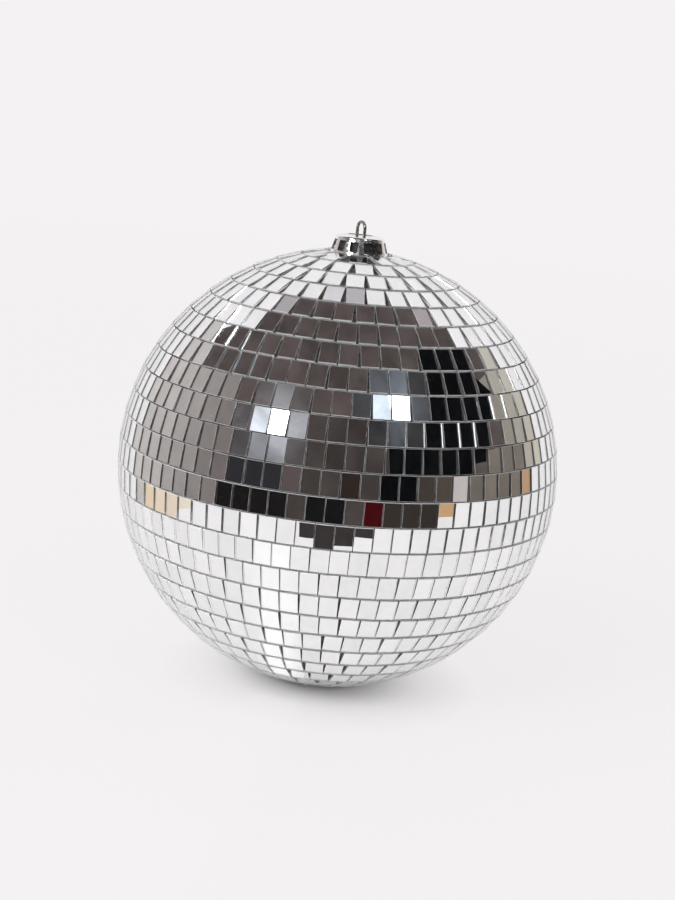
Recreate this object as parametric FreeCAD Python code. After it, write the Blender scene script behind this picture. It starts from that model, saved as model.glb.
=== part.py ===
# Mirror ball, 200 mm across its tiles, for hanging by a wire loop.
#
# A hollow plastic core is moulded in two halves that lap at the equator. The upper half carries a neck.
# Glass mirror tiles are glued over the core in rows, each row made of short straight strips of tiles on
# a thin backing. The rows start at four closing tiles on the bottom pole and stop just short of the
# neck, which a pierced crown cap covers. A bent wire passes through the cap: its loop is the hanging
# eye above, and its two legs run down the neck and hook under the core with outward feet.
#
# Everything is built around the ball's centre, in millimetres, with +Z along the hanging axis. save()
# then drops it so that the frame's origin is where a hook bears, under the top of the loop.
import FreeCAD, Part
import math
import os
import random

# Driving dimensions
BALL_DIAMETER = 200.0          # across the outer corners of the tiles
TILE_WIDTH = 7.7               # along the row
TILE_HEIGHT = 10.54            # across the row
GLASS_THICKNESS = 1.5
TILE_GAP = 0.08                # between tiles of one strip, where they are closest
STRIP_GAP = 0.16               # between strips, where they are closest
ROW_ANGLE = 6.35               # pitch of the rows, in degrees of latitude
RING_ROWS = 26                 # rows above the closing tiles
IN_PLANE_BEND = 0.65           # how far a strip follows its parallel, from 0, straight, to 1, fully
LARGEST_BOW = 0.22             # how far a strip may bow off its parallel
STRIPS_SEED = 11
BACKING_THICKNESS = 0.35
GLUE_LINE = 0.04               # left free between tile, backing and core
CORE_WALL = 2.5
LAP_HEIGHT = 4.0
LAP_CLEARANCE = 0.05
CAP_HEIGHT = 8.8
CAP_FOOT_RADIUS = 13.3
CAP_SHOULDER_RADIUS = 11.1
CAP_WALL = 0.7
CAP_WINDOWS = 12
CAP_DIMPLES = 4
WIRE_DIAMETER = 1.4
LOOP_RADIUS = 3.0              # to the middle of the wire
LOOP_RISE = 6.9                # top of the loop above the cap's rim

# Worked out from them
FACE_RADIUS = math.sqrt((BALL_DIAMETER / 2) ** 2 - (TILE_WIDTH / 2) ** 2 - (TILE_HEIGHT / 2) ** 2)
TILE_BACK_RADIUS = FACE_RADIUS - GLASS_THICKNESS
BACKING_OUTER = TILE_BACK_RADIUS - GLUE_LINE
BACKING_INNER = BACKING_OUTER - BACKING_THICKNESS
CORE_RADIUS = BACKING_INNER - GLUE_LINE
CORE_INNER_RADIUS = CORE_RADIUS - CORE_WALL
WIRE_RADIUS = WIRE_DIAMETER / 2

CAP_STANDOFF = 0.3             # skirt above the core
CAP_FOOT_Z = math.sqrt(CORE_RADIUS ** 2 - CAP_FOOT_RADIUS ** 2) + CAP_STANDOFF
CAP_TOP_Z = CAP_FOOT_Z + CAP_HEIGHT
CAP_DISH = 0.3                 # how far the top is sunk inside its rim
CAP_DISH_RADIUS = 9.1
CAP_SHOULDER_DROP = 1.3        # where the skirt meets the rounded shoulder, below the top
PLATE_UNDER_Z = CAP_TOP_Z - CAP_DISH - CAP_WALL

NECK_BORE_RADIUS = 7.5
NECK_RADIUS = 9.6
NECK_COLLAR_RADIUS = 11.1
NECK_COLLAR_RISE = 2.6         # top of the collar above the cap's foot
NECK_TOP_Z = PLATE_UNDER_Z - 0.1

LOOP_CENTRE_Z = CAP_TOP_Z + LOOP_RISE - WIRE_RADIUS - LOOP_RADIUS
EYE_Z = LOOP_CENTRE_Z + LOOP_RADIUS - WIRE_RADIUS

Z_AXIS = FreeCAD.Vector(0, 0, 1)


def vec(x, y, z):
    return FreeCAD.Vector(x, y, z)


def save(name, solids):
    """Write one node, a solid or a list of separate solids, moved into the hanging frame."""
    shape = Part.makeCompound(solids) if isinstance(solids, list) else solids
    shape = shape.copy()
    shape.translate(vec(0, 0, -EYE_Z))
    shape.exportStep("parts/" + name + ".step")
    print(name, len(shape.Solids), "solids,", round(shape.Volume / 1000, 2), "cm3, valid:", shape.isValid())


def at_height(radius, x):
    """Height of a sphere's surface at a distance x from the axis."""
    return math.sqrt(radius ** 2 - x ** 2)


def line(a, b):
    return Part.LineSegment(vec(a[0], 0, a[1]), vec(b[0], 0, b[1])).toShape()


def sphere_arc(radius, a, b):
    """Arc of a circle about the ball's centre, between two points given as (x, z)."""
    middle = math.radians(90) - (math.atan2(a[0], a[1]) + math.atan2(b[0], b[1])) / 2
    m = (radius * math.cos(middle), radius * math.sin(middle))
    return Part.Arc(vec(a[0], 0, a[1]), vec(m[0], 0, m[1]), vec(b[0], 0, b[1])).toShape()


def turned(edges):
    """Solid of revolution about the ball's axis, from a closed outline in the XZ plane."""
    face = Part.Face(Part.Wire(Part.__sortEdges__(edges)))
    return face.revolve(vec(0, 0, 0), Z_AXIS, 360)


# The core


def upper_core_shell():
    """Upper half of the core, with the neck, its collar, and the rebate of the lap joint."""
    lap_radius = CORE_RADIUS - CORE_WALL / 2 + LAP_CLEARANCE
    lap_top = LAP_HEIGHT + 2 * LAP_CLEARANCE
    collar_top = CAP_FOOT_Z + NECK_COLLAR_RISE
    rim = (CORE_RADIUS, 0)
    neck_root = (NECK_COLLAR_RADIUS, at_height(CORE_RADIUS, NECK_COLLAR_RADIUS))
    bore_foot = (NECK_BORE_RADIUS, at_height(CORE_INNER_RADIUS, NECK_BORE_RADIUS))
    lap_inner = (at_height(CORE_INNER_RADIUS, lap_top), lap_top)
    return turned([
        line((lap_radius, 0), rim),
        sphere_arc(CORE_RADIUS, rim, neck_root),
        line(neck_root, (NECK_COLLAR_RADIUS, collar_top)),
        line((NECK_COLLAR_RADIUS, collar_top), (NECK_RADIUS, collar_top)),
        line((NECK_RADIUS, collar_top), (NECK_RADIUS, NECK_TOP_Z)),
        line((NECK_RADIUS, NECK_TOP_Z), (NECK_BORE_RADIUS, NECK_TOP_Z)),
        line((NECK_BORE_RADIUS, NECK_TOP_Z), bore_foot),
        sphere_arc(CORE_INNER_RADIUS, bore_foot, lap_inner),
        line(lap_inner, (lap_radius, lap_top)),
        line((lap_radius, lap_top), (lap_radius, 0)),
    ])


def lower_core_shell():
    """Lower half of the core, with the spigot that stands up inside the upper half's rebate."""
    spigot_radius = CORE_RADIUS - CORE_WALL / 2 - LAP_CLEARANCE
    rim = (CORE_RADIUS, -LAP_CLEARANCE)
    inner_rim = (at_height(CORE_INNER_RADIUS, LAP_CLEARANCE), -LAP_CLEARANCE)
    return turned([
        sphere_arc(CORE_RADIUS, (0, -CORE_RADIUS), rim),
        line(rim, (spigot_radius, -LAP_CLEARANCE)),
        line((spigot_radius, -LAP_CLEARANCE), (spigot_radius, LAP_HEIGHT)),
        line((spigot_radius, LAP_HEIGHT), (inner_rim[0], LAP_HEIGHT)),
        line((inner_rim[0], LAP_HEIGHT), inner_rim),
        sphere_arc(CORE_INNER_RADIUS, inner_rim, (0, -CORE_INNER_RADIUS)),
        line((0, -CORE_INNER_RADIUS), (0, -CORE_RADIUS)),
    ])


# The tiles


def row_latitude(row):
    """Latitude of the middle of a row, in degrees. Row 0 is the closing tiles on the bottom pole."""
    return -90 + ROW_ANGLE * (row + 0.5)


def directions(latitude, longitude, twist):
    """East, up and outward unit vectors of a tile. Twist turns it in its own plane. Angles in radians."""
    out = vec(
        math.cos(latitude) * math.cos(longitude),
        math.cos(latitude) * math.sin(longitude),
        math.sin(latitude),
    )
    east = vec(-math.sin(longitude), math.cos(longitude), 0)
    north = out.cross(east)
    turned_east = east * math.cos(twist) + north * math.sin(twist)
    return turned_east, out.cross(turned_east), out


def tile(latitude, longitude, twist=0.0, width=TILE_WIDTH, height=TILE_HEIGHT):
    """One flat glass tile, its face tangent to the ball."""
    east, up, out = directions(latitude, longitude, twist)
    box = Part.makeBox(width, height, GLASS_THICKNESS, vec(-width / 2, -height / 2, -GLASS_THICKNESS))
    place = out * FACE_RADIUS
    box.transformShape(FreeCAD.Matrix(
        east.x, up.x, out.x, place.x,
        east.y, up.y, out.y, place.y,
        east.z, up.z, out.z, place.z,
        0, 0, 0, 1,
    ))
    return box


def step_in_strip(latitude):
    """Longitude from one tile of a strip to the next, so that their closest corners keep TILE_GAP."""
    parallel = TILE_BACK_RADIUS * math.cos(latitude)
    opening = IN_PLANE_BEND * abs(math.tan(latitude)) * TILE_HEIGHT / (2 * TILE_BACK_RADIUS)
    return (TILE_WIDTH + TILE_GAP) / (1 - opening) / parallel


def step_between(latitude, before, after):
    """Longitude from the last tile of one strip to the first of the next, for strips of those lengths."""
    parallel = TILE_BACK_RADIUS * math.cos(latitude)
    half = TILE_HEIGHT / 2
    unbent = (1 - IN_PLANE_BEND) * step_in_strip(latitude) * abs(math.sin(latitude))
    wedge = half * unbent * ((before + after) / 2 - 1)
    opening = abs(math.tan(latitude)) * half / TILE_BACK_RADIUS
    return (TILE_WIDTH + STRIP_GAP + wedge) / (1 - opening) / parallel


def longest_strip(latitude):
    """Most tiles in a strip that bows off its parallel by no more than LARGEST_BOW."""
    unbent = (1 - IN_PLANE_BEND) * max(abs(math.tan(latitude)), 0.1)
    length = math.sqrt(8 * FACE_RADIUS * LARGEST_BOW / unbent)
    return max(1, int(length / (TILE_WIDTH + TILE_GAP)))


def turn_taken(latitude, strips):
    """Longitude taken by a closed row of these strips."""
    inside = sum(strips) - len(strips)
    seams = sum(step_between(latitude, strips[i - 1], strips[i]) for i in range(len(strips)))
    return inside * step_in_strip(latitude) + seams


def strips_of_row(latitude, chance):
    """Uneven strip lengths that fill the row once round."""
    longest = longest_strip(latitude)
    strips = []
    while True:
        wanted = chance.randint((longest + 1) // 2, longest)
        fitting = [n for n in range(wanted, 0, -1) if turn_taken(latitude, strips + [n]) <= 2 * math.pi]
        if not fitting:
            return strips
        strips.append(fitting[0])


def tile_row(row):
    """A row of strips. Strips part in wedges, and each bows a little towards the equator at its ends."""
    latitude = math.radians(row_latitude(row))
    chance = random.Random(STRIPS_SEED + row)
    strips = strips_of_row(latitude, chance)
    spare = (2 * math.pi - turn_taken(latitude, strips)) / sum(strips)
    step = step_in_strip(latitude) + spare
    unbent = (1 - IN_PLANE_BEND) * math.sin(latitude)
    start = chance.uniform(0, 2 * math.pi)
    tiles = []
    for i, count in enumerate(strips):
        half_span = (count - 1) / 2 * step
        bow = unbent * math.cos(latitude) * half_span ** 2 / 2
        for k in range(count):
            away = k * step - half_span
            fall = unbent * math.cos(latitude) * away ** 2 / 2 - bow / 2
            tiles.append(tile(latitude - fall, start + half_span + away, -unbent * away))
        following = strips[(i + 1) % len(strips)]
        start += 2 * half_span + step_between(latitude, count, following) + spare
    return tiles


def closing_tiles():
    """Two whole tiles side by side over the bottom pole, and a cut tile above and below them."""
    side = (TILE_WIDTH + STRIP_GAP) / 2 / TILE_BACK_RADIUS
    cut_height = TILE_HEIGHT * 0.36
    reach = (TILE_HEIGHT + cut_height + 2 * STRIP_GAP) / 2 / TILE_BACK_RADIUS
    whole = [tile(-math.pi / 2 + side, turn, math.pi / 2) for turn in (0, math.pi)]
    cut = [
        tile(-math.pi / 2 + reach, turn, height=cut_height)
        for turn in (math.pi / 2, -math.pi / 2)
    ]
    return whole + cut


def backing_band(row):
    """The thin band under one row: a cone that touches the core's sphere along the row's middle."""
    latitude = math.radians(row_latitude(row))
    out = (math.cos(latitude), math.sin(latitude))
    along = (-math.sin(latitude), math.cos(latitude))
    half = TILE_HEIGHT / 2

    def corner(radius, side):
        return (radius * out[0] + side * half * along[0], radius * out[1] + side * half * along[1])

    ring = [corner(BACKING_INNER, -1), corner(BACKING_OUTER, -1), corner(BACKING_OUTER, 1), corner(BACKING_INNER, 1)]
    return turned([line(ring[i - 1], ring[i]) for i in range(len(ring))])


def closing_backing():
    """The patch under the closing tiles, curved with the ball."""
    reach = math.radians(0.9 * ROW_ANGLE)
    inner_rim = (BACKING_INNER * math.sin(reach), -BACKING_INNER * math.cos(reach))
    outer_rim = (BACKING_OUTER * math.sin(reach), -BACKING_OUTER * math.cos(reach))
    return turned([
        sphere_arc(BACKING_OUTER, (0, -BACKING_OUTER), outer_rim),
        line(outer_rim, inner_rim),
        sphere_arc(BACKING_INNER, inner_rim, (0, -BACKING_INNER)),
        line((0, -BACKING_INNER), (0, -BACKING_OUTER)),
    ])


# The cap and the hanger


def skirt_radius(z):
    """Outer radius of the cap's flared skirt at a height."""
    share = (z - CAP_FOOT_Z) / (CAP_HEIGHT - CAP_SHOULDER_DROP)
    return CAP_FOOT_RADIUS + (CAP_SHOULDER_RADIUS - CAP_FOOT_RADIUS) * share


def cap_body():
    """The stamped cap before it is pierced: dished top, rounded shoulder, flared skirt, rolled foot."""
    shoulder_z = CAP_TOP_Z - CAP_SHOULDER_DROP
    top_radius = CAP_SHOULDER_RADIUS - CAP_SHOULDER_DROP
    inner = CAP_WALL
    bulge = CAP_SHOULDER_DROP * math.sqrt(0.5)
    inner_bulge = (CAP_SHOULDER_DROP - inner) * math.sqrt(0.5)
    shoulder = Part.Arc(
        vec(CAP_SHOULDER_RADIUS, 0, shoulder_z),
        vec(top_radius + bulge, 0, shoulder_z + bulge),
        vec(top_radius, 0, CAP_TOP_Z),
    ).toShape()
    inner_shoulder = Part.Arc(
        vec(CAP_SHOULDER_RADIUS - inner, 0, shoulder_z),
        vec(top_radius + inner_bulge, 0, shoulder_z + inner_bulge),
        vec(top_radius, 0, CAP_TOP_Z - inner),
    ).toShape()
    foot = (CAP_FOOT_RADIUS, CAP_FOOT_Z)
    inner_foot = (CAP_FOOT_RADIUS - inner, CAP_FOOT_Z)
    dish_z = CAP_TOP_Z - CAP_DISH
    shell = turned([
        line(foot, (CAP_SHOULDER_RADIUS, shoulder_z)),
        shoulder,
        line((top_radius, CAP_TOP_Z), (CAP_DISH_RADIUS, CAP_TOP_Z)),
        line((CAP_DISH_RADIUS, CAP_TOP_Z), (CAP_DISH_RADIUS - CAP_DISH, dish_z)),
        line((CAP_DISH_RADIUS - CAP_DISH, dish_z), (0, dish_z)),
        line((0, dish_z), (0, PLATE_UNDER_Z)),
        line((0, PLATE_UNDER_Z), (CAP_DISH_RADIUS - CAP_DISH, PLATE_UNDER_Z)),
        line((CAP_DISH_RADIUS - CAP_DISH, PLATE_UNDER_Z), (CAP_DISH_RADIUS, CAP_TOP_Z - inner)),
        line((CAP_DISH_RADIUS, CAP_TOP_Z - inner), (top_radius, CAP_TOP_Z - inner)),
        inner_shoulder,
        line((CAP_SHOULDER_RADIUS - inner, shoulder_z), inner_foot),
        line(inner_foot, foot),
    ])
    roll_radius = 0.45
    roll = Part.makeTorus(CAP_FOOT_RADIUS - inner / 2, roll_radius, vec(0, 0, CAP_FOOT_Z + roll_radius), Z_AXIS)
    return shell.fuse(roll)


def cap_window():
    """Cutter for one pierced window of the skirt, on the +X side, with rounded corners."""
    width = 3.6
    foot_band = 2.2
    height = 4.6
    depth = 4.0
    corner = 0.4
    box = Part.makeBox(depth, width, height, vec(CAP_FOOT_RADIUS - depth + 1, -width / 2, CAP_FOOT_Z + foot_band))
    along_x = [e for e in box.Edges if abs(e.tangentAt(e.FirstParameter).x) > 0.99]
    return box.makeFillet(corner, along_x)


def crown_cap():
    """The cap, pierced for the windows and the wire, with dimples in its skirt that centre it on the neck."""
    cap = cap_body()
    pitch = 360 / CAP_WINDOWS
    for i in range(CAP_WINDOWS):
        window = cap_window()
        window.rotate(vec(0, 0, 0), Z_AXIS, (i + 0.5) * pitch)
        cap = cap.cut(window)
    for side in (-1, 1):
        hole = Part.makeCylinder(WIRE_RADIUS + 0.15, 4, vec(side * LOOP_RADIUS, 0, CAP_TOP_Z - 3), Z_AXIS)
        cap = cap.cut(hole)
    dimple_z = CAP_FOOT_Z + 1.7
    dent_radius = 0.9
    tip_radius = NECK_COLLAR_RADIUS + 0.08
    centre = tip_radius + dent_radius
    for i in range(CAP_DIMPLES):
        angle = math.radians(i * 360 / CAP_DIMPLES)
        spot = vec(centre * math.cos(angle), centre * math.sin(angle), dimple_z)
        outward = vec(math.cos(angle), math.sin(angle), 0)
        dent = Part.makeSphere(dent_radius, spot)
        within = Part.makeCylinder(2, skirt_radius(dimple_z) - 0.2, vec(0, 0, dimple_z), outward)
        hollow = Part.makeSphere(dent_radius - 0.35, spot + outward * 0.35)
        cap = cap.fuse(dent.common(within)).cut(hollow)
    return cap.removeSplitter()


def bent_wire(points, radii):
    """Round wire along straight runs joined by tangent arcs, in the XZ plane. One radius for each bend."""
    spots = [vec(x, 0, z) for x, z in points]
    edges = []
    start = spots[0]
    for i, radius in enumerate(radii):
        corner = spots[i + 1]
        back = (spots[i] - corner).normalize()
        ahead = (spots[i + 2] - corner).normalize()
        half_angle = back.getAngle(ahead) / 2
        tangent = radius / math.tan(half_angle)
        bisector = (back + ahead).normalize()
        middle = corner + bisector * (radius / math.sin(half_angle) - radius)
        first, last = corner + back * tangent, corner + ahead * tangent
        edges.append(Part.LineSegment(start, first).toShape())
        edges.append(Part.Arc(first, middle, last).toShape())
        start = last
    edges.append(Part.LineSegment(start, spots[-1]).toShape())
    path = Part.Wire(edges)
    first_run = (spots[1] - spots[0]).normalize()
    section = Part.Wire(Part.makeCircle(WIRE_RADIUS, spots[0], first_run))
    return path.makePipeShell([section], True, True)


def hanger_wire():
    """The loop, its two legs and the feet that hook under the core, bent from one wire."""
    foot_reach = 12.5
    foot_clearance = 0.3
    foot_z = at_height(CORE_INNER_RADIUS, foot_reach) - foot_clearance - WIRE_RADIUS
    leg_spread = 5.9
    right_leg = [
        (LOOP_RADIUS, CAP_FOOT_Z + 3.4),
        (leg_spread, CAP_FOOT_Z - 1.4),
        (leg_spread, foot_z),
        (foot_reach, foot_z),
    ]
    top = LOOP_CENTRE_Z + LOOP_RADIUS
    left_leg = [(-x, z) for x, z in reversed(right_leg)]
    points = left_leg + [(-LOOP_RADIUS, top), (LOOP_RADIUS, top)] + right_leg
    loop_bend = LOOP_RADIUS * 0.9999
    radii = [1.2, 1.6, 2.5, loop_bend, loop_bend, 2.5, 1.6, 1.2]
    wire = bent_wire(points, radii)
    for side in (-1, 1):
        wire = wire.fuse(Part.makeSphere(WIRE_RADIUS, vec(side * foot_reach, 0, foot_z)))
    return wire.removeSplitter()


os.makedirs("parts", exist_ok=True)
equator_row = int(90 / ROW_ANGLE)
save("hanger_wire", hanger_wire())
save("crown_cap", crown_cap())
save("upper_core_shell", upper_core_shell())
save("lower_core_shell", lower_core_shell())
save("upper_strip_backings", [backing_band(row) for row in range(equator_row, RING_ROWS + 1)])
save("lower_strip_backings", [closing_backing()] + [backing_band(row) for row in range(1, equator_row)])
save("closing_tiles", closing_tiles())
for row in range(1, RING_ROWS + 1):
    save("tile_row_%02d" % row, tile_row(row))
print("eye above the ball's centre:", round(EYE_Z, 3), "cap rim:", round(CAP_TOP_Z, 3))
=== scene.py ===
import math
import random

import bmesh
import bpy
from mathutils import Matrix, Vector


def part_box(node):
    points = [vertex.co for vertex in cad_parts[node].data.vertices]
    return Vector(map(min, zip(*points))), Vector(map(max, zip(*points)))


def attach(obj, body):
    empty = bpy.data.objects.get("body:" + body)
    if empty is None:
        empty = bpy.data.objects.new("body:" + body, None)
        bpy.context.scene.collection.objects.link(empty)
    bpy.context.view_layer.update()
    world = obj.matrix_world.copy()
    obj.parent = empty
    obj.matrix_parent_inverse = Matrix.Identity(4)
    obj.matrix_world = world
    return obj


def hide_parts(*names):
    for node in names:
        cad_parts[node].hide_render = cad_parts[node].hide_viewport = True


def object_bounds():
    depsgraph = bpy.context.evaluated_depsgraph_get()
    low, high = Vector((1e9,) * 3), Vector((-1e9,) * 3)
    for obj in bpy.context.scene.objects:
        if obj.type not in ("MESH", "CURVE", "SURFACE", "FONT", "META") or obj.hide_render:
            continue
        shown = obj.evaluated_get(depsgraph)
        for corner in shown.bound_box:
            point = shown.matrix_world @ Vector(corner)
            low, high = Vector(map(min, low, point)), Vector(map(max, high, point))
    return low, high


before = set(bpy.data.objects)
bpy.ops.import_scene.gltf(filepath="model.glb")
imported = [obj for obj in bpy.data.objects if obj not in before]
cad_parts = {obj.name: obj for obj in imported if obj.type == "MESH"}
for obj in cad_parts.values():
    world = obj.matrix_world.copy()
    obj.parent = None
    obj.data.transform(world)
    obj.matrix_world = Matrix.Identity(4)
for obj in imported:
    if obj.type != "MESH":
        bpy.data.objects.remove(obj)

cad_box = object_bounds()

# What the CAD says
core_low, core_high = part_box("lower_core_shell")
CORE_RADIUS = (core_high.x - core_low.x) / 2
CENTRE = Vector((0, 0, core_low.z + CORE_RADIUS))
FLOOR_Z = cad_box[0].z
TILE_NODES = sorted(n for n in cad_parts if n.startswith("tile_row_")) + ["closing_tiles"]

# Camera
CAMERA_AZIMUTH = 57.0          # degrees; 0 looks along +Y
CAMERA_ELEVATION = 12.0
CAMERA_DISTANCE = 0.800        # from the ball's centre
CAMERA_ROLL = 5.7
CAMERA_RAISE = 0.0077          # how far above the ball's centre it aims
SENSOR = 36.0
LENS = 69.8

# Tiles
MM = 0.001
ARRIS = 0.035 * MM             # width of the worn edge round the face
FLAKING = 1.5                  # how many times wider the arris grows where it has flaked
CORNER_PLAY = 0.03 * MM        # how far a corner may be off square
NIBBLE = 0.025 * MM            # unevenness of a cut edge
EDGE_POINTS = 5                # along each side of a tile
FLAKE_RARITY = 3               # the higher, the fewer wide flakes
SILVER_DEPTH = 0.64            # how deep the silvering lies, as a share of the tile's thickness
PAD_INSET = 0.15 * MM          # how far the paint and adhesive stop short of the tile's edge
PAD_DROP = 0.01 * MM           # gap between the silvering and the pad behind it
GLASS_IOR = 1.5
LEAN = math.radians(0.45)      # how unevenly the tiles lie
SEED = 41
FACE, SIDE, SILVER, WORN, SNAPPED, PAD = range(6)  # a tile's material slots

# Set
BACKDROP = (0.905, 0.888, 0.898)
DIM = (0.120, 0.097, 0.093)    # the unlit room
AMBIENT = 0.60
FLOOR_END = 2.4
# The floor's share of the backdrop's glow, by distance from the ball's axis: painted light that mostly
# fades out the ball's shadow beyond the contact
FLOOR_GLOW = ((0.015, 0.0), (0.045, 0.6), (0.075, 0.88), (0.3, 0.92), (FLOOR_END, 1.0))
HALO_FALL = 1.9                # how fast the painted glow round a lamp fades
LIT = (1.06, 1.05, 1.06)       # painted light: glow of the sheet that stands in for the left lamp's sheen on the table top
LIT_AZIMUTHS = (-37, -27, -19, -9)
LIT_REACHES = (0.04, 0.21, 0.30)
SHEET_GAP = 0.05 * MM          # between the flat sheets of the set
# How far the table top reaches from the ball's axis, by azimuth. Its rim shows in the tiles.
TABLE_RIM = {
    -180: 1.8, -140: 1.2, -124: 0.40, -115: 0.36, -105: 0.31, -94: 0.30, -85: 0.30, -77: 0.31,
    -69: 0.325, -64: 0.45, -40: 0.45, -23: 0.46, -22: 0.35, -12.5: 0.35, -12: 0.30, 8: 0.30, 12: 0.311,
    17: 0.311, 18: 0.46, 52: 0.46, 53.5: 0.655, 56.5: 0.675, 62: 1.4, 120: 1.8,
}


def direction(azimuth, elevation):
    """Unit vector towards an azimuth, 0 at the camera and growing to its right, and an elevation."""
    a, e = math.radians(CAMERA_AZIMUTH + azimuth), math.radians(elevation)
    return Vector((math.sin(a) * math.cos(e), -math.cos(a) * math.cos(e), math.sin(e)))


# Materials


def new_material(name):
    """An empty node material. Returns it with its node tree and its Principled shader."""
    material = bpy.data.materials.new(name)
    material.use_nodes = True
    tree = material.node_tree
    return material, tree, tree.nodes["Principled BSDF"]


def node(tree, kind, **settings):
    """A shader node with its settings."""
    made = tree.nodes.new(kind)
    for key, value in settings.items():
        setattr(made, key, value)
    return made


def noise(tree, scale, detail=3.0, roughness=0.5, distortion=0.0):
    """Noise in object coordinates, in cells per metre."""
    where = node(tree, "ShaderNodeTexCoord")
    made = node(tree, "ShaderNodeTexNoise")
    made.inputs["Scale"].default_value = scale
    made.inputs["Detail"].default_value = detail
    made.inputs["Roughness"].default_value = roughness
    made.inputs["Distortion"].default_value = distortion
    tree.links.new(where.outputs["Object"], made.inputs["Vector"])
    return made.outputs["Fac"]


def remap(tree, value, low, high, to_low, to_high):
    """A value moved from one range to another, and held within it."""
    made = node(tree, "ShaderNodeMapRange")
    for socket, number in zip(("From Min", "From Max", "To Min", "To Max"), (low, high, to_low, to_high)):
        made.inputs[socket].default_value = number
    tree.links.new(value, made.inputs["Value"])
    return made.outputs["Result"]


def ramp(tree, value, *stops):
    """Colour ramp from (position, (r, g, b)) stops."""
    made = node(tree, "ShaderNodeValToRGB")
    elements = made.color_ramp.elements
    while len(elements) < len(stops):
        elements.new(0.5)
    for element, (position, colour) in zip(elements, stops):
        element.position = position
        element.color = (*colour, 1)
    tree.links.new(value, made.inputs["Fac"])
    return made.outputs["Color"]


def add(tree, a, b):
    made = node(tree, "ShaderNodeMath", operation="ADD")
    tree.links.new(a, made.inputs[0])
    tree.links.new(b, made.inputs[1])
    return made.outputs["Value"]


def multiply_colour(tree, a, b):
    made = node(tree, "ShaderNodeMix", data_type="RGBA", blend_type="MULTIPLY")
    made.inputs["Factor"].default_value = 1
    tree.links.new(a, made.inputs["A"])
    tree.links.new(b, made.inputs["B"])
    return made.outputs["Result"]


def bump(tree, shader, height, strength, distance):
    made = node(tree, "ShaderNodeBump")
    made.inputs["Strength"].default_value = strength
    made.inputs["Distance"].default_value = distance
    tree.links.new(height, made.inputs["Height"])
    tree.links.new(made.outputs["Normal"], shader.inputs["Normal"])


def paint(tree, shader, value, *stops):
    """Base colour that follows a value through (position, (r, g, b)) stops."""
    tree.links.new(ramp(tree, value, *stops), shader.inputs["Base Color"])


def roughen(tree, shader, value, low, high, at_low, at_high):
    """Roughness that follows a value between two bounds."""
    tree.links.new(remap(tree, value, low, high, at_low, at_high), shader.inputs["Roughness"])


def tile_tone(tree):
    """The random number, from 0 to 1, that each tile's mesh carries."""
    return node(tree, "ShaderNodeAttribute", attribute_name="tile_tone").outputs["Fac"]


def silver_material():
    """Silvering behind the glass, each tile a little different. It is seen through the glass."""
    material, tree, shader = new_material("silvering")
    shader.inputs["Metallic"].default_value = 1
    tone = ramp(tree, tile_tone(tree), (0.0, (0.90, 0.90, 0.90)), (1.0, (0.985, 0.98, 0.985)))
    haze = ramp(tree, noise(tree, 70, 4, 0.6, 1.5), (0.35, (0.96, 0.96, 0.96)), (0.6, (1, 1, 1)))
    tree.links.new(multiply_colour(tree, tone, haze), shader.inputs["Base Color"])
    roughen(tree, shader, noise(tree, 160, 5, 0.65, 2.5), 0.5, 0.8, 0.0, 0.015)
    return material


def glass_material():
    """Clear face of a tile, with a thin film of dust, wiped smears and a few specks."""
    material, tree, shader = new_material("glass_face")
    shader.inputs["Transmission Weight"].default_value = 1
    shader.inputs["IOR"].default_value = GLASS_IOR
    shader.inputs["Coat Roughness"].default_value = 0.27
    paint(tree, shader, noise(tree, 90, 3), (0.3, (0.975, 0.985, 0.98)), (0.7, (1, 1, 1)))
    smear = remap(tree, noise(tree, 150, 5, 0.65, 2.5), 0.45, 0.75, 0.0, 0.35)
    dust = remap(tree, noise(tree, 2600, 1), 0.72, 0.8, 0, 0.4)
    tree.links.new(add(tree, smear, dust), shader.inputs["Coat Weight"])
    shader.inputs["Roughness"].default_value = 0.0
    return material


def glass_edge_material(name, clear, smoothest, roughest):
    """Side of the glass, glinting or frosted white, with the ripples of the cut or the break."""
    material, tree, shader = new_material(name)
    shader.inputs["Transmission Weight"].default_value = clear
    shader.inputs["IOR"].default_value = GLASS_IOR
    ripples = noise(tree, 2200, 4, 0.6, 0.8)
    paint(tree, shader, ripples, (0.35, (0.94, 0.96, 0.95)), (0.62, (1, 1, 1)))
    roughen(tree, shader, ripples, 0.3, 0.7, smoothest, roughest)
    bump(tree, shader, ripples, 0.25, 0.05 * MM)
    return material


def arris_material():
    """Worn edge round the face: flaked glass, white on the flakes and grey between them."""
    material, tree, shader = new_material("glass_arris")
    flakes = noise(tree, 950, 4, 0.7, 0.6)
    paint(tree, shader, flakes, (0.36, (0.42, 0.43, 0.43)), (0.58, (0.93, 0.94, 0.94)))
    roughen(tree, shader, flakes, 0.35, 0.65, 0.22, 0.5)
    bump(tree, shader, flakes, 0.4, 0.03 * MM)
    return material


def pad_material():
    """Protective paint and adhesive behind the silvering, seen only at the foot of a gap."""
    material, tree, shader = new_material("tile_pad")
    mottle = noise(tree, 900, 3)
    paint(tree, shader, mottle, (0.3, (0.34, 0.335, 0.33)), (0.7, (0.56, 0.55, 0.54)))
    roughen(tree, shader, mottle, 0.2, 0.8, 0.5, 0.75)
    return material


def backing_material():
    """Dull dark film between the strips and the core, with glue smeared on it."""
    material, tree, shader = new_material("strip_backing")
    glue = noise(tree, 420, 4, 0.6, 1.2)
    paint(tree, shader, glue, (0.40, (0.035, 0.034, 0.031)), (0.68, (0.12, 0.12, 0.105)))
    roughen(tree, shader, glue, 0.4, 0.7, 0.7, 0.35)
    bump(tree, shader, glue, 0.6, 0.2 * MM)
    return material


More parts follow.
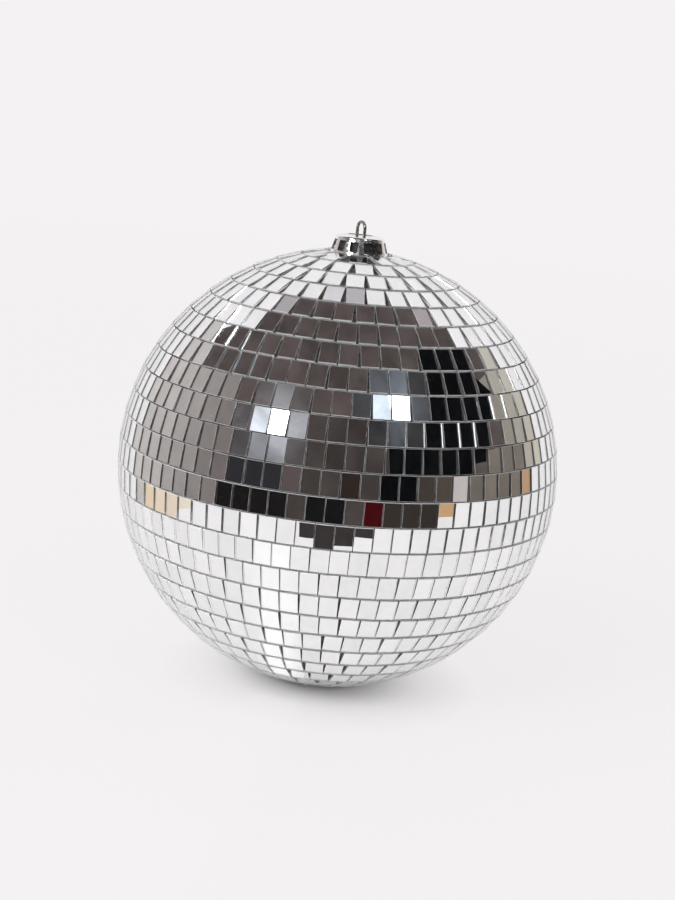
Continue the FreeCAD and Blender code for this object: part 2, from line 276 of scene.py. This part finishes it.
def core_material():
    """Moulded plastic with a fine satin texture."""
    material, tree, shader = new_material("core_plastic")
    grain = noise(tree, 1500, 3)
    paint(tree, shader, grain, (0.3, (0.045, 0.045, 0.045)), (0.7, (0.065, 0.065, 0.064)))
    roughen(tree, shader, grain, 0.3, 0.7, 0.42, 0.56)
    bump(tree, shader, grain, 0.25, 0.05 * MM)
    return material


def chrome_material():
    """Bright plating on thin stamped sheet, hazy and dull in places, with shallow dents."""
    material, tree, shader = new_material("cap_chrome")
    shader.inputs["Metallic"].default_value = 1
    wear = noise(tree, 900, 4, 0.6, 0.6)
    paint(tree, shader, wear, (0.35, (0.80, 0.79, 0.785)), (0.58, (0.97, 0.965, 0.96)))
    roughen(tree, shader, wear, 0.35, 0.7, 0.12, 0.32)
    bump(tree, shader, noise(tree, 330, 2), 0.35, 0.35 * MM)
    return material


def wire_material():
    """Drawn steel wire, semi-bright, a little tarnished."""
    material, tree, shader = new_material("wire_steel")
    shader.inputs["Metallic"].default_value = 1
    tarnish = noise(tree, 700, 4, 0.6)
    paint(tree, shader, tarnish, (0.35, (0.24, 0.225, 0.215)), (0.65, (0.58, 0.56, 0.54)))
    roughen(tree, shader, tarnish, 0.3, 0.7, 0.2, 0.42)
    bump(tree, shader, noise(tree, 2500, 2), 0.3, 0.05 * MM)
    return material


def floor_material():
    """Pale board that runs, with distance, into the even brightness of the backdrop. The glow is painted
    light, and it mostly fades out the ball's shadow a few centimetres from the contact.
    """
    material, tree, shader = new_material("floor")
    output = tree.nodes["Material Output"]
    where = node(tree, "ShaderNodeTexCoord")
    level = node(tree, "ShaderNodeVectorMath", operation="MULTIPLY")
    level.inputs[1].default_value = (1, 1, 0)
    length = node(tree, "ShaderNodeVectorMath", operation="LENGTH")
    tree.links.new(where.outputs["Object"], level.inputs[0])
    tree.links.new(level.outputs["Vector"], length.inputs[0])
    share = remap(tree, length.outputs["Value"], 0, FLOOR_END, 0, 1)
    fade = ramp(tree, share, *[(reach / FLOOR_END, (glow, glow, glow)) for reach, glow in FLOOR_GLOW])
    glow = node(tree, "ShaderNodeEmission")
    glow.inputs["Color"].default_value = (*BACKDROP, 1)
    mixed = node(tree, "ShaderNodeMixShader")
    tree.links.new(fade, mixed.inputs["Fac"])
    tree.links.new(shader.outputs["BSDF"], mixed.inputs[1])
    tree.links.new(glow.outputs["Emission"], mixed.inputs[2])
    tree.links.new(mixed.outputs["Shader"], output.inputs["Surface"])
    paint(tree, shader, noise(tree, 30, 2), (0.3, (0.795, 0.785, 0.795)), (0.7, (0.815, 0.805, 0.815)))
    shader.inputs["Roughness"].default_value = 0.45
    shader.inputs["Specular IOR Level"].default_value = 0.35
    return material


def glow_material(name, colour, other=None, clouds=0.0):
    """A surface of the room that shines by itself, from one colour to another as its mesh says."""
    material, tree, shader = new_material(name)
    shader.inputs["Base Color"].default_value = (0, 0, 0, 1)
    shader.inputs["Specular IOR Level"].default_value = 0
    shader.inputs["Emission Color"].default_value = (*colour, 1)
    shader.inputs["Emission Strength"].default_value = 1
    if other or clouds:
        shade = node(tree, "ShaderNodeAttribute", attribute_name="shade").outputs["Fac"]
        glow = ramp(tree, shade, (0.0, colour), (1.0, other or colour))
        if clouds:
            thin = (1 - clouds,) * 3
            cloud = ramp(tree, noise(tree, 5, 5, 0.6, 1.0), (0.38, thin), (0.62, (1, 1, 1)))
            glow = multiply_colour(tree, glow, cloud)
        tree.links.new(glow, shader.inputs["Emission Color"])
    return material


# Tiles


def merged_copy(name):
    """The CAD node as a bmesh whose slabs are whole boxes of six faces."""
    bm = bmesh.new()
    bm.from_mesh(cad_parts[name].data)
    bmesh.ops.remove_doubles(bm, verts=bm.verts, dist=0.001 * MM)
    bmesh.ops.dissolve_limit(bm, angle_limit=math.radians(1), verts=bm.verts, edges=bm.edges)
    return bm


def islands(bm):
    """Lists of the faces that hang together."""
    left = set(bm.faces)
    while left:
        found, front = [], [left.pop()]
        while front:
            face = front.pop()
            found.append(face)
            for edge in face.edges:
                for other in edge.link_faces:
                    if other in left:
                        left.remove(other)
                        front.append(other)
        yield found


def slabs(name):
    """Each tile of a node: the centre of its face, its east, up and outward directions, and its size."""
    bm = merged_copy(name)
    found = []
    for faces in islands(bm):
        front = max(faces, key=lambda f: f.normal.dot(f.calc_center_median() - CENTRE))
        back = min(faces, key=lambda f: f.normal.dot(front.normal))
        out = front.normal.normalized()
        middle = front.calc_center_median()
        sides = [e.verts[1].co - e.verts[0].co for e in front.edges]
        up = max(sides, key=lambda s: abs(s.normalized().z)).normalized()
        if up.z < 0:
            up.negate()
        east = up.cross(out).normalized()
        corners = [v.co - middle for v in front.verts]
        width = 2 * max(c.dot(east) for c in corners)
        height = 2 * max(c.dot(up) for c in corners)
        depth = (middle - back.calc_center_median()).dot(out)
        found.append((middle.copy(), east, up, out, width, height, depth))
    bm.free()
    return sorted(found, key=lambda s: math.atan2(s[0].y, s[0].x))


def cut_outline(width, height, chance):
    """Points round a tile, a little uneven and inside its true size, as (x, y)."""
    corners = []
    for sx, sy in ((-1, -1), (1, -1), (1, 1), (-1, 1)):
        x = sx * (width / 2 - chance.uniform(0, CORNER_PLAY))
        y = sy * (height / 2 - chance.uniform(0, CORNER_PLAY))
        corners.append((x, y))
    points = []
    for i, (x, y) in enumerate(corners):
        next_x, next_y = corners[(i + 1) % 4]
        for k in range(EDGE_POINTS):
            along = k / EDGE_POINTS
            bite = chance.uniform(0, NIBBLE)
            px, py = x + (next_x - x) * along, y + (next_y - y) * along
            reach = math.hypot(px, py)
            points.append((px * (1 - bite / reach), py * (1 - bite / reach)))
    return points


def add_tile(bm, slab, tone, chance):
    """One glass tile: flat face, flaked arris, sides, the silvering and the pad behind it."""
    middle, east, up, out, width, height, depth = slab
    lean = Matrix.Rotation(chance.gauss(0, LEAN), 3, east) @ Matrix.Rotation(chance.gauss(0, LEAN), 3, up)
    east, up, out = lean @ east, lean @ up, lean @ out
    outline = cut_outline(width, height, chance)

    def ring(inset, drop, flaking=0.0):
        """The outline drawn in from the edge, below the face."""
        made = []
        for x, y in outline:
            inner = inset * (1 + flaking * chance.random() ** FLAKE_RARITY)
            sx, sy = 1 - 2 * inner / width, 1 - 2 * inner / height
            made.append(bm.verts.new(middle + east * (x * sx) + up * (y * sy) - out * drop))
        return made

    rings = [ring(ARRIS, 0, FLAKING), ring(0, ARRIS), ring(0, SILVER_DEPTH * depth)]
    bm.faces.new(rings[0]).material_index = FACE
    count = len(outline)
    for i in range(count):
        j = (i + 1) % count
        side = SNAPPED if i // EDGE_POINTS % 2 == 0 else SIDE
        for upper, lower, finish in ((rings[0], rings[1], WORN), (rings[1], rings[2], side)):
            bm.faces.new((upper[i], lower[i], lower[j], upper[j])).material_index = finish
    bm.faces.new(list(reversed(rings[2]))).material_index = SILVER
    half = (width / 2 - PAD_INSET, height / 2 - PAD_INSET)
    rings += add_pad(bm, middle, (east, up, out), half, depth)
    value = chance.random()
    for verts in rings:
        for vert in verts:
            vert[tone] = value


def add_pad(bm, middle, axes, half, depth):
    """The paint and adhesive between a tile's silvering and the strip's backing, as a thin block."""
    east, up, out = axes
    loops = []
    for drop in (SILVER_DEPTH * depth + PAD_DROP, depth):
        corners = [(sx * half[0], sy * half[1]) for sx, sy in ((-1, -1), (1, -1), (1, 1), (-1, 1))]
        loops.append([bm.verts.new(middle + east * x + up * y - out * drop) for x, y in corners])
    front, back = loops
    made = [bm.faces.new(front), bm.faces.new(list(reversed(back)))]
    for i in range(4):
        j = (i + 1) % 4
        made.append(bm.faces.new((front[i], back[i], back[j], front[j])))
    for face in made:
        face.material_index = PAD
    return loops


def build_row(name, materials):
    """All tiles of one CAD node, as one piece."""
    chance = random.Random(SEED + TILE_NODES.index(name))
    bm = bmesh.new()
    tone = bm.verts.layers.float.new("tile_tone")
    for slab in slabs(name):
        add_tile(bm, slab, tone, chance)
    mesh = bpy.data.meshes.new(name + "_glass")
    bm.to_mesh(mesh)
    bm.free()
    for material in materials:
        mesh.materials.append(material)
    piece = bpy.data.objects.new(name + "_glass", mesh)
    bpy.context.scene.collection.objects.link(piece)
    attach(piece, "ball")
    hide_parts(name)


# Everything that keeps its CAD shape


def dress(name, material):
    """Gives a CAD node its finish."""
    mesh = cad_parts[name].data
    mesh.materials.clear()
    mesh.materials.append(material)


# The set


def stage_mesh(name, verts, faces, material, shade=None):
    """A mesh of the set, which may carry a shade from 0 to 1 for each vertex."""
    mesh = bpy.data.meshes.new(name)
    mesh.from_pydata(verts, [], faces)
    if shade:
        mesh.attributes.new("shade", "FLOAT", "POINT").data.foreach_set("value", shade)
    mesh.materials.append(material)
    made = bpy.data.objects.new(name, mesh)
    bpy.context.scene.collection.objects.link(made)
    return made


def floor():
    """A pale table top round the ball, and a wide floor level with it that only the camera sees."""
    material = floor_material()
    rim = []
    for azimuth, reach in TABLE_RIM.items():
        way = direction(azimuth, 0) * reach
        rim.append((way.x, way.y, FLOOR_Z))
    stage_mesh("table_top", rim, [tuple(range(len(rim)))], material)
    wide = 11.0
    far = stage_mesh(
        "far_floor",
        [(x * wide, y * wide, FLOOR_Z - SHEET_GAP) for x, y in ((-1, -1), (1, -1), (1, 1), (-1, 1))],
        [(0, 1, 2, 3)],
        material,
    )
    far.visible_glossy = False
    far.visible_diffuse = False
    far.visible_transmission = False
    lit_strip()


def lit_strip():
    """The brighter stretch of the table top that the left lamp throws back at the ball's underside, as
    painted light: a self-lit sheet that only reflections see.
    """
    verts, faces, shade = [], [], []
    for reach in LIT_REACHES:
        for azimuth in LIT_AZIMUTHS:
            way = direction(azimuth, 0) * reach
            verts.append((way.x, way.y, FLOOR_Z + SHEET_GAP))
            inside = azimuth in LIT_AZIMUTHS[1:-1] and reach < LIT_REACHES[-1]
            shade.append(0.0 if inside else 1.0)
    count = len(LIT_AZIMUTHS)
    for j in range(len(LIT_REACHES) - 1):
        for i in range(j * count, (j + 1) * count - 1):
            faces.append((i, i + 1, count + i + 1, count + i))
    made = stage_mesh("lit_strip", verts, faces, glow_material("lit_strip", LIT, BACKDROP), shade)
    reflected_only(made)


def reflected_only(made):
    """Leaves it to the glass, silver and metal to see, and to nothing else."""
    made.visible_camera = False
    made.visible_diffuse = False
    made.visible_shadow = False


def patch(name, azimuths, elevations, distance, colour, other=None, clouds=0.0):
    """Part of a sphere round the ball, seen only in reflections. It may shade from left to right."""
    steps = 12
    verts, faces, shade = [], [], []
    for i in range(steps + 1):
        for j in range(steps + 1):
            a = azimuths[0] + (azimuths[1] - azimuths[0]) * i / steps
            e = elevations[0] + (elevations[1] - elevations[0]) * j / steps
            verts.append(CENTRE + direction(a, e) * distance)
            shade.append(i / steps)
    for i in range(steps):
        for j in range(steps):
            k = i * (steps + 1) + j
            faces.append((k, k + 1, k + steps + 2, k + steps + 1))
    reflected_only(stage_mesh(name, verts, faces, glow_material(name, colour, other, clouds), shade))


def halo(name, azimuth, elevation, radius, distance, colour, edge):
    """Painted glow round a lamp: a self-lit disc that only reflections see, bright in the middle and as dim
    as its surroundings at the rim.
    """
    rings, spokes = 16, 32
    middle = direction(azimuth, elevation)
    side = middle.cross(Vector((0, 0, 1))).normalized()
    over = side.cross(middle)
    verts, faces, shade = [CENTRE + middle * distance], [], [0.0]
    for i in range(1, rings + 1):
        away = math.radians(radius) * i / rings
        for k in range(spokes):
            turn = 2 * math.pi * k / spokes
            way = middle * math.cos(away) + (side * math.cos(turn) + over * math.sin(turn)) * math.sin(away)
            verts.append(CENTRE + way * distance)
            shade.append(1 - (1 - i / rings) ** HALO_FALL)
    for k in range(spokes):
        faces.append((0, 1 + k, 1 + (k + 1) % spokes))
    for i in range(rings - 1):
        for k in range(spokes):
            a, b = 1 + i * spokes + k, 1 + i * spokes + (k + 1) % spokes
            faces.append((a, a + spokes, b + spokes, b))
    reflected_only(stage_mesh(name, verts, faces, glow_material(name, colour, edge, clouds=0.6), shade))


def backdrop():
    """The even pale backdrop, all round and far away. The camera and the tiles see it."""
    rings, spokes, distance = 24, 48, 12.0
    verts, faces = [], []
    for i in range(rings + 1):
        for k in range(spokes):
            verts.append(CENTRE + direction(360 * k / spokes, -90 + 180 * i / rings) * distance)
    for i in range(rings):
        for k in range(spokes):
            a, b = i * spokes + k, i * spokes + (k + 1) % spokes
            faces.append((a, b, b + spokes, a + spokes))
    made = stage_mesh("backdrop", verts, faces, glow_material("backdrop", BACKDROP))
    made.visible_diffuse = False
    made.visible_shadow = False


def room():
    """The dim end of the studio, behind the camera and overhead, from far to near."""
    black = (0.0035, 0.004, 0.005)
    patch("ceiling_top", (-180, 180), (76, 90), 3.4, DIM, clouds=0.35)
    patch("ceiling_rim", (-180, 180), (69.5, 78), 3.45, (0.50, 0.47, 0.50))
    patch("ceiling_haze", (-172, -150), (66, 70), 3.5, (0.72, 0.69, 0.72))
    patch("ceiling_left", (-136, -118), (55, 62.5), 3.4, (0.44, 0.41, 0.43))
    patch("ceiling_right", (122, 133), (56, 62.5), 3.4, (0.42, 0.37, 0.39))
    patch("ceiling_front", (-134, 131), (62, 77), 3.35, DIM, clouds=0.45)
    patch("room_high", (-113, 115), (33, 63), 3.3, DIM, clouds=0.45)
    patch("room_low", (-66, 112), (-16, 34), 3.3, DIM, clouds=0.4)
    patch("room_middle", (-21, 28), (-16, 42), 3.25, (0.076, 0.064, 0.060), clouds=0.45)
    patch("left_wall", (-128, -58), (-21, 34), 3.1, (0.70, 0.66, 0.645), (0.17, 0.145, 0.14), clouds=0.12)
    patch("right_wall", (100, 130), (-4, 34), 3.1, (0.26, 0.235, 0.205), (0.66, 0.62, 0.54))
    patch("right_bench", (44, 110), (-4, 9), 3.0, (0.115, 0.10, 0.092), (0.28, 0.245, 0.21), clouds=0.3)
    patch("bench_end", (43, 58), (-4, 9), 2.97, (0.044, 0.036, 0.031), (0.080, 0.066, 0.056))
    patch("pale_panel", (62, 71), (-3, 8), 2.9, (0.56, 0.51, 0.51))
    patch("curtain_top", (50, 106), (37, 58), 3.0, black)
    patch("curtain_middle", (22, 103), (25, 38), 3.0, black)
    patch("curtain_low", (28, 88), (10, 26), 3.0, black)
    patch("curtain_foot", (25, 44), (-3, 11), 2.95, black)
    patch("black_gap", (-60, -22), (-16, -3), 2.95, (0.012, 0.0105, 0.0105))
    patch("dark_gap", (-53, -24), (-3, 9), 2.95, (0.028, 0.028, 0.032))
    patch("tripod", (-12, 8), (-16, 1), 2.8, (0.009, 0.009, 0.010))
    patch("tripod_foot", (-22, 19), (-27, -14), 2.8, (0.044, 0.038, 0.038))
    patch("camera_stand", (-1, 9), (-16, 15), 2.85, (0.024, 0.019, 0.018), (0.034, 0.022, 0.018))
    patch("low_box", (26, 56), (-16, -3), 2.9, (0.040, 0.032, 0.028))
    patch("red_chair", (18, 26), (-16, -3), 2.85, (0.055, 0.004, 0.006))
    patch("wood_left", (-117, -77), (-30, -14), 2.8, (0.80, 0.64, 0.46), (0.86, 0.76, 0.64))
    patch("wood_right", (107, 116), (-6, 1), 2.8, (0.50, 0.33, 0.20))
    patch("wood_shelf", (56, 66), (-10.2, -4), 2.8, (0.60, 0.38, 0.20))
    patch("lamp_head", (-13, -4.5), (20, 29.2), 2.75, (2.2, 2.2, 2.25))
    halo("left_halo", -38, 27, 21, 2.7, (2.0, 2.15, 2.4), DIM)
    halo("right_halo", 33, 43, 17, 2.7, (2.1, 2.4, 2.8), (0.05, 0.048, 0.05))


def softbox(name, azimuth, elevation, distance, size, radiance, colour=(1, 1, 1)):
    """A rectangular lamp that faces the ball."""
    lamp = bpy.data.lights.new(name, "AREA")
    lamp.shape = "RECTANGLE"
    lamp.size, lamp.size_y = size
    lamp.energy = radiance * math.pi * size[0] * size[1]
    lamp.color = colour
    made = bpy.data.objects.new(name, lamp)
    bpy.context.scene.collection.objects.link(made)
    way = direction(azimuth, elevation)
    made.location = CENTRE + way * distance
    made.rotation_mode = "QUATERNION"
    made.rotation_quaternion = way.to_track_quat("Z", "Y")
    made.visible_camera = False
    return made


def lights():
    """Two softboxes, a large fill that no mirror sees, and the even light of the pale surroundings."""
    softbox("left_softbox", -38, 27, 2.4, (0.42, 0.52), 20)
    softbox("right_softbox", 33, 43, 2.4, (0.46, 0.46), 8, (0.95, 0.97, 1))
    fill = softbox("fill", -42, 36, 2.6, (1.9, 1.1), 6.0)
    fill.visible_glossy = False
    fill.visible_transmission = False
    world = bpy.data.worlds.new("studio")
    world.use_nodes = True
    background = world.node_tree.nodes["Background"]
    background.inputs["Color"].default_value = (*BACKDROP, 1)
    background.inputs["Strength"].default_value = AMBIENT
    bpy.context.scene.world = world


def camera():
    """The camera at the angle of the product picture."""
    data = bpy.data.cameras.new("camera")
    data.sensor_width = SENSOR
    data.lens = LENS
    made = bpy.data.objects.new("camera", data)
    bpy.context.scene.collection.objects.link(made)
    back = direction(0, CAMERA_ELEVATION)
    facing = (-back).to_track_quat("-Z", "Y")
    roll = Matrix.Rotation(math.radians(CAMERA_ROLL), 4, "Z").to_quaternion()
    made.rotation_mode = "QUATERNION"
    made.rotation_quaternion = facing @ roll
    raised = facing @ roll @ Vector((0, 1, 0)) * CAMERA_RAISE
    made.location = CENTRE + back * CAMERA_DISTANCE + raised
    bpy.context.scene.camera = made


camera()
glass = [  # in the order of a tile's material slots
    glass_material(),
    glass_edge_material("glass_cut_side", 0.92, 0.0, 0.15),
    silver_material(),
    arris_material(),
    glass_edge_material("glass_snapped_side", 0.25, 0.45, 0.85),
    pad_material(),
]
for tiles in TILE_NODES:
    build_row(tiles, glass)
core = core_material()
backing = backing_material()
dress("upper_core_shell", core)
dress("lower_core_shell", core)
dress("upper_strip_backings", backing)
dress("lower_strip_backings", backing)
dress("crown_cap", chrome_material())
dress("hanger_wire", wire_material())
floor()
backdrop()
room()
lights()
bpy.context.scene.view_settings.view_transform = "Standard"
